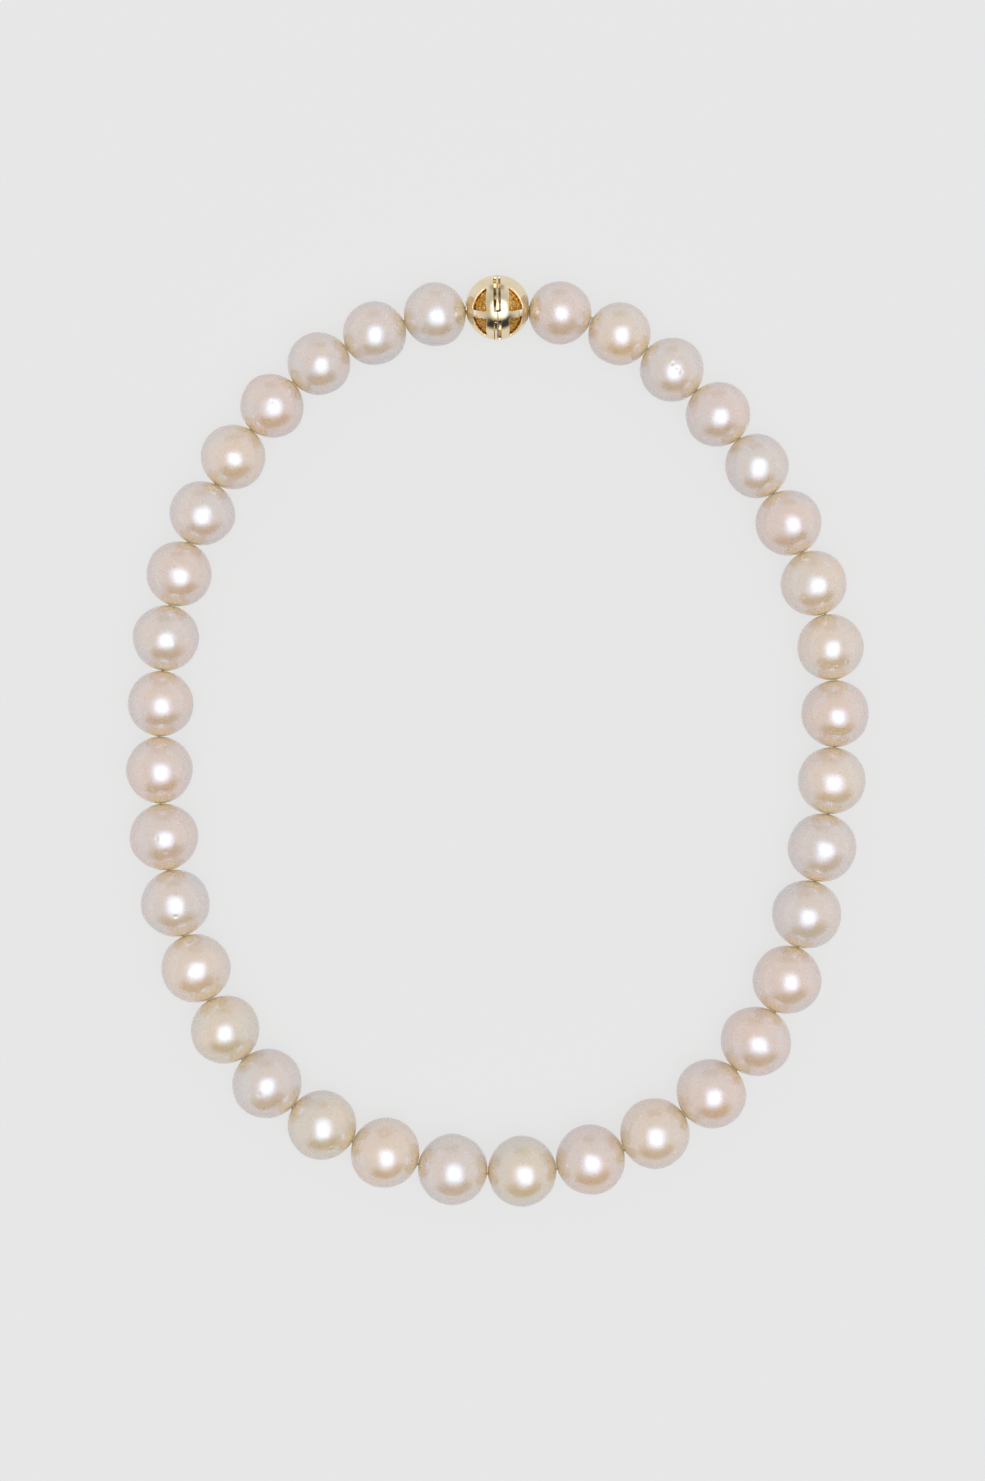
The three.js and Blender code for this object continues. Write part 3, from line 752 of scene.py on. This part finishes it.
def window_cutter(side, fold, turn):
    """A wedge whose sides all point at the ball's middle."""
    outline = window_outline(side, fold)
    inner, outer = WINDOW_CUT["inner"], WINDOW_CUT["outer"]
    rise = [math.sqrt(BALL_RADIUS**2 - x * x - v * v) for x, v in outline]
    verts = [(x * inner, v * inner, z * inner) for (x, v), z in zip(outline, rise)]
    verts += [(x * outer, v * outer, z * outer) for (x, v), z in zip(outline, rise)]
    middle = np.mean(np.array(verts[: len(outline)]), axis=0)
    verts.append(tuple(middle * WINDOW_CUT["apex_in"]))
    verts.append(tuple(middle * outer / inner * WINDOW_CUT["apex_out"]))
    count = len(outline)
    faces = []
    for n in range(count):
        after = (n + 1) % count
        faces.append((n, after, after + count, n + count))
        faces.append((2 * count, after, n))
        faces.append((2 * count + 1, n + count, after + count))
    obj = outward(new_object("window_cutter", verts, faces))
    obj.data.transform(Matrix.Rotation(WINDOW_TILT + turn, 4, "X"))
    return obj


def sector_outline(inner, outer, half_angle):
    up = math.pi / 2
    rim = arc(0, 0, outer, up - half_angle, up + half_angle, 24)
    return rim + arc(0, 0, inner, up + half_angle, up - half_angle, 24)


def slot_cutter(depth, side, half_angle, tilt):
    low, high = sorted((-side * SLOT_CUT["past_seam"], side * depth))
    outline = sector_outline(SLOT_FLOOR, BALL_RADIUS + SLOT_CUT["past_ball"], half_angle)
    obj = prism("slot_cutter", outline, low, high, across_thread)
    obj.data.transform(Matrix.Rotation(-tilt, 4, "X"))
    return obj


def turned_arc(radius, from_x, to_x, bands):
    angles = np.linspace(math.acos(from_x / radius), math.acos(to_x / radius), bands + 1)
    return [(radius * math.cos(a), radius * math.sin(a)) for a in angles]


def mirrored(profile, side):
    return [(side * x, radius) for x, radius in profile]


def snapped(obj, side):
    """Puts the points of the shell's round faces, seam and end flat back on their true surfaces."""
    co = coordinates(obj)
    near = SHELL_VOXEL * SNAP["to_ball"]
    radius = np.linalg.norm(co, axis=1)
    for true in (BALL_RADIUS, BALL_RADIUS - WALL):
        pull = np.clip(2 - 2 * np.abs(radius - true) / near, 0, 1)
        co *= (1 + pull * (true / radius - 1))[:, None]
    for true in (SEAM, END_INSIDE, END_FLAT):
        off_flat = np.abs(co[:, 0] * side - true)
        on_flat = (off_flat < SHELL_VOXEL * SNAP["to_flat"]) & (radius < BALL_RADIUS - near)
        co[on_flat, 0] = true * side
    set_coordinates(obj, co)
    return obj


def make_shell(half, side):
    inner = BALL_RADIUS - WALL
    profile = turned_arc(BALL_RADIUS, SEAM, END_FLAT, SHELL_BANDS["outside"])
    profile += [(END_FLAT, END_HOLE), (END_INSIDE, END_HOLE)]
    profile += turned_arc(inner, END_INSIDE, SEAM, SHELL_BANDS["inside"])
    verts, faces = revolve(mirrored(profile, side), SHELL_SIDES)
    obj = outward(new_object(f"{half}_shell_polished", verts, faces))
    cutters = [window_cutter(side, fold, turn) for turn in (0, math.pi) for fold in (-1, 1)]
    cutters.append(slot_cutter(TAB_SLOT[half], side, TAB_SLOT_HALF_ANGLE, LATCH_TILT))
    cutters.append(slot_cutter(KEY_SLOT[half], side, KEY_SLOT_HALF_ANGLE, KEY_TILT))
    cut(obj, cutters)
    obj.data.transform(ASKEW)
    applied(
        obj,
        ("REMESH", {"mode": "VOXEL", "voxel_size": SHELL_VOXEL, "use_smooth_shade": True}),
        ("SMOOTH", {"factor": 0.5, "iterations": SHELL_SMOOTHING}),
    )
    obj.data.transform(ASKEW.inverted())
    return snapped(obj, side)


def make_liner(half, side):
    """The grained cup: its outside, seen through the windows, is covered in small hammered grains."""
    outer = LINER_OUTER
    inner = outer - LINER_WALL
    start = LINER_START[half]
    profile = turned_arc(outer, start, math.sqrt(outer**2 - LINER_HOLE**2), LINER_BANDS["grained"])
    grained = len(profile)
    profile += turned_arc(inner, math.sqrt(inner**2 - LINER_HOLE**2), start, LINER_BANDS["inside"])
    verts, faces = revolve(mirrored(profile, side), LINER_SIDES)
    draw = np.random.default_rng(GRAIN_SEED + side)
    height = np.zeros(len(verts))
    top = grained * LINER_SIDES
    unit = verts[:top] / outer
    for frequency, depth in GRAINS:
        for _ in range(GRAIN_WAVES):
            wave = draw.normal(size=3)
            wave /= np.linalg.norm(wave)
            height[:top] += depth * np.sin(frequency * unit @ wave + draw.uniform(0, 2 * math.pi))
    edge = np.clip((np.abs(verts[:, 0]) - start) / GRAIN_FADE, 0, 1)
    verts *= (1 + height * edge / outer)[:, None]
    return outward(new_object(f"{half}_liner_grained", verts, faces))


def ring_edge(out, base):
    """The end ring's outline from its outer foot to the bore: domed where it stands out far enough."""
    if out - base < THIN_RING:
        return [
            (base, RING_RADIUS - 0.02),
            (out - 0.02, RING_RADIUS - 0.06),
            (out, RING_RADIUS - 0.12),
            (out, DRILL_RADIUS + 0.04),
            (out - 0.04, DRILL_RADIUS),
        ]
    dome = (out - base) / 2.2
    lip = 0.1
    quarter = math.pi / 2
    edge = [(base, RING_RADIUS - 0.02)]
    edge += arc(out - dome, RING_RADIUS - dome, dome, quarter, 0, 6)
    return edge + arc(out - lip, DRILL_RADIUS + lip, lip, 0, -quarter, 5)


def make_eyelet(half, side, ring_out):
    base = END_FLAT + SOLDER_GAP
    profile = ring_edge(END_FLAT + ring_out - RING_CLEARANCE, base)
    profile += [
        (TUBE_END + TUBE_EDGE, DRILL_RADIUS),
        (TUBE_END, DRILL_RADIUS + TUBE_EDGE),
        (TUBE_END, TUBE_RADIUS - TUBE_EDGE),
        (TUBE_END + TUBE_EDGE, TUBE_RADIUS),
        (base, TUBE_RADIUS),
    ]
    verts, faces = revolve(mirrored(profile, side), TUBE_SIDES)
    return outward(new_object(f"{half}_end_ring", verts, faces))


def make_crimp(half, side):
    low, high = CRIMP
    grip = THREAD_RADIUS + CRIMP_GAP
    quarter = math.pi / 2
    profile = [(low, grip)]
    profile += arc(low + CRIMP_ROUND, CRIMP_RADIUS - CRIMP_ROUND, CRIMP_ROUND, 2 * quarter, quarter, 5)
    profile += arc(high - CRIMP_ROUND, CRIMP_RADIUS - CRIMP_ROUND, CRIMP_ROUND, quarter, 0, 5)
    profile += [(high, grip)]
    verts, faces = revolve(mirrored(profile, side), CRIMP_SIDES)
    outer = np.hypot(verts[:, 1], verts[:, 2]) > CRUSH["beyond"]
    verts[outer, 1] *= CRUSH["to"]
    return outward(new_object(f"{half}_crimp_crushed", verts, faces))


def disc_outline(radius):
    return arc(0, 0, radius, 0, 2 * math.pi, DISC_SIDES)[:-1]


def make_base_plate():
    plate = prism("tongue_base_plate_polished", disc_outline(PLATE_RADIUS), *BASE_PLATE, across_thread)
    return softened(plate, PLATE_SOFT)


def make_mouth_plate():
    m = MOUTH
    plate = prism("box_mouth_plate_polished", disc_outline(PLATE_RADIUS), *MOUTH_PLATE, across_thread)
    mouth = [
        (-m["half_width"], m["floor"]),
        (m["half_width"], m["floor"]),
        (m["half_width"], m["lintel"]),
        (m["notch_half_width"], m["lintel"]),
        (m["notch_half_width"], m["notch_top"]),
        (-m["notch_half_width"], m["notch_top"]),
        (-m["notch_half_width"], m["lintel"]),
        (-m["half_width"], m["lintel"]),
    ]
    near, far = MOUTH_PLATE
    cutter = prism("mouth_cutter", mouth, near - CUT_SPARE, far + CUT_SPARE, across_thread)
    return softened(cut(plate, [cutter]), MOUTH_SOFT)


def make_lower_leaf():
    up = math.pi / 2
    foot = BASE_PLATE[1] + LEAF_FOOT_GAP
    outline = [(foot, LOWER_LEAF_FLOOR)]
    outline += arc(FOLD["x"], FOLD["w"], FOLD["inner"] + LEAF, -up, up, 20)
    outline += arc(FOLD["x"], FOLD["w"], FOLD["inner"], up, -up, 14)
    outline += [(foot, LOWER_LEAF_FLOOR + LEAF)]
    leaf = prism("tongue_lower_leaf_sprung", outline, -LEAF_HALF_WIDTH, LEAF_HALF_WIDTH, along_thread)
    return softened(leaf, LEAF_SOFT)


def make_thumb_leaf():
    """The moving leaf, its neck and the thumb tab, joined into one solid and softened."""
    start = FOLD["x"] - LEAF_GAP
    top = FOLD["w"] + FOLD["inner"] + LEAF
    under = SHOULDER_TOP - LEAF
    wide = [(start, top - LEAF), (start, top), (NECK_END, SHOULDER_TOP), (NECK_END, under)]
    leaf = prism("thumb_tab_leaf_sprung", wide, -LEAF_HALF_WIDTH, LEAF_HALF_WIDTH, along_thread)
    back, front = TAB_FACES[0], NECK_END + NECK_LAP
    # set in by a hair all round, so that it shares no face with the leaf or the tab
    neck = [
        (front, under - 0.05),
        (front, SHOULDER_TOP - 0.06),
        (back, SHOULDER_TOP - 0.01),
        (back, under - 0.01),
    ]
    up = math.pi / 2
    neck_angle = math.asin(NECK_HALF_WIDTH / TAB_FOOT)
    tab = [(-NECK_HALF_WIDTH, under), (NECK_HALF_WIDTH, under)]
    tab += arc(0, 0, TAB_FOOT, up - neck_angle, up - TAB_HALF_ANGLE, 10)
    tab += arc(0, 0, TAB_TOP, up - TAB_HALF_ANGLE, up + TAB_HALF_ANGLE, 32)
    tab += arc(0, 0, TAB_FOOT, up + TAB_HALF_ANGLE, up + neck_angle, 10)
    others = [
        prism("neck", neck, -NECK_HALF_WIDTH, NECK_HALF_WIDTH, along_thread),
        prism("tab", tab, *TAB_FACES, across_thread),
    ]
    return softened(combined(leaf, "UNION", others), TAB_SOFT)


def make_key():
    outline = sector_outline(*KEY_RADII, KEY_HALF_ANGLE)
    return softened(prism("tongue_index_key_polished", outline, *KEY_FACES, across_thread), KEY_SOFT)


def make_clasp():
    ball = clasp_matrix()
    latch = ball @ Matrix.Rotation(-LATCH_TILT, 4, "X")
    key = ball @ Matrix.Rotation(-KEY_TILT, 4, "X")
    for half, side, ring_out in (("tongue", -1, RING_OUT_TONGUE), ("box", 1, RING_OUT_BOX)):
        body = f"{half}_half"
        finish_piece(place(make_shell(half, side), ball), "polished_gold", body, f"{half}_shell")
        finish_piece(place(make_liner(half, side), ball), "grained_gold", body, f"{half}_liner")
        finish_piece(place(make_eyelet(half, side, ring_out), ball), "polished_gold", body, f"{half}_eyelet")
        finish_piece(place(make_crimp(half, side), ball), "polished_gold", body, f"{half}_crimp_bead")
    finish_piece(place(make_base_plate(), latch), "polished_gold", "tongue_half", "tongue_base_plate")
    finish_piece(place(make_mouth_plate(), latch), "polished_gold", "box_half", "box_mouth_plate")
    finish_piece(place(make_lower_leaf(), latch), "polished_gold", "tongue_half", "tongue_lower_leaf")
    finish_piece(place(make_thumb_leaf(), latch), "polished_gold", "thumb_leaf", "thumb_tab_leaf")
    finish_piece(place(make_key(), key), "polished_gold", "tongue_half", "tongue_index_key")


# ======== the setting ========
def make_camera():
    data = bpy.data.cameras.new("camera")
    data.lens = CAMERA_LENS
    data.sensor_width = CAMERA_SENSOR
    camera = bpy.data.objects.new("camera", data)
    distance = VIEW_HEIGHT * CAMERA_LENS / CAMERA_SENSOR
    camera.location = Vector((*VIEW_CENTRE, PEARL_HALF + distance)) * MM
    bpy.context.scene.collection.objects.link(camera)
    bpy.context.scene.camera = camera


def make_floor():
    half = FLOOR_HALF_WIDTH
    corners = [(-half, -half, 0), (half, -half, 0), (half, half, 0), (-half, half, 0)]
    floor = new_object("floor", corners, [(0, 1, 2, 3)])
    floor.data.materials.append(pale_floor())


class Sky:
    """Sums over directions for the tent. across and along say where a mirror ball shows each direction."""

    def __init__(self, tree):
        self.tree = tree
        parts = tree.nodes.new("ShaderNodeSeparateXYZ")
        tree.links.new(tree.nodes.new("ShaderNodeTexCoord").outputs["Generated"], parts.inputs[0])
        x, y, z = parts.outputs
        # straight down is spread over the mirror ball's whole edge, so it is kept clear of
        height = self.do("MAXIMUM", z, -0.99)
        scale = self.do("SQRT", self.do("MULTIPLY_ADD", height, 2.0, 2.0))
        self.across = self.do("DIVIDE", x, scale)
        self.along = self.do("DIVIDE", y, scale)
        self.away = self.length(self.across, self.along)
        self.toward = self.do("ARCTAN2", y, x)

    def do(self, operation, *values):
        node = self.tree.nodes.new("ShaderNodeMath")
        node.operation = operation
        for value, socket in zip(values, node.inputs):
            if isinstance(value, bpy.types.NodeSocket):
                self.tree.links.new(value, socket)
            else:
                socket.default_value = value
        return node.outputs[0]

    def length(self, a, b):
        return self.do("SQRT", self.do("ADD", self.do("MULTIPLY", a, a), self.do("MULTIPLY", b, b)))

    def inside(self, distance, soft):
        """One where distance is well under 1, and nothing where it is well over."""
        ramp = self.tree.nodes.new("ShaderNodeMapRange")
        ramp.interpolation_type = "SMOOTHSTEP"
        self.tree.links.new(distance, ramp.inputs["Value"])
        ramp.inputs["From Min"].default_value = 1 - soft
        ramp.inputs["From Max"].default_value = 1 + soft
        ramp.inputs["To Min"].default_value = 1.0
        ramp.inputs["To Max"].default_value = 0.0
        return ramp.outputs["Result"]

    def window(self, centre, reach, soft):
        """A patch with round corners, like a softbox's."""
        across = self.do("MULTIPLY", self.do("SUBTRACT", self.across, centre[0]), 1 / reach[0])
        along = self.do("MULTIPLY", self.do("SUBTRACT", self.along, centre[1]), 1 / reach[1])
        powers = [self.do("POWER", self.do("ABSOLUTE", v), PATCH_POWER) for v in (across, along)]
        return self.inside(self.do("POWER", self.do("ADD", *powers), 1 / PATCH_POWER), soft)

    def crescent(self, away, half_width, toward, half_angle):
        """A band along part of a circle round the middle, with soft sides and ends."""
        out = self.do("MULTIPLY", self.do("SUBTRACT", self.away, away), 1 / half_width)
        turn = self.do("SUBTRACT", self.toward, math.radians(toward))
        turn = self.do("WRAP", turn, -math.pi, math.pi)
        round_it = self.do("MULTIPLY", turn, 1 / math.radians(half_angle))
        sides = self.inside(self.do("ABSOLUTE", out), GAP_SOFT["sides"])
        ends = self.inside(self.do("ABSOLUTE", round_it), GAP_SOFT["ends"])
        return self.do("MULTIPLY", sides, ends)


def make_lights():
    world = bpy.data.worlds.new("tent")
    bpy.context.scene.world = world
    world.use_nodes = True
    sky = Sky(world.node_tree)
    patch = BRIGHT_PATCH
    # a mirror ball shows the tent's foot at a squared distance of one half
    squared = sky.do("MULTIPLY", sky.away, sky.away)
    tent = sky.do("MULTIPLY_ADD", squared, 2 * (TENT_FOOT - TENT_TOP), TENT_TOP)
    for missing, *where in GAPS:
        tent = sky.do("MULTIPLY", tent, sky.do("MULTIPLY_ADD", sky.crescent(*where), -missing, 1.0))
    bright = sky.window(patch["centre"], patch["reach"], patch["soft"])
    strength = sky.do("MULTIPLY_ADD", bright, patch["radiance"] - TENT_TOP, tent)
    background = world.node_tree.nodes["Background"]
    background.inputs["Color"].default_value = (1, 1, 1, 1)
    world.node_tree.links.new(sky.do("MAXIMUM", strength, 0.0), background.inputs["Strength"])


def main():
    make_camera()
    make_floor()
    make_lights()
    bpy.context.scene.view_settings.view_transform = "Standard"
    for n in range(1, PEARLS + 1):
        make_pearl(n)
    for contact in range(PEARLS + 1):
        make_thread(contact)
    make_clasp()


main()
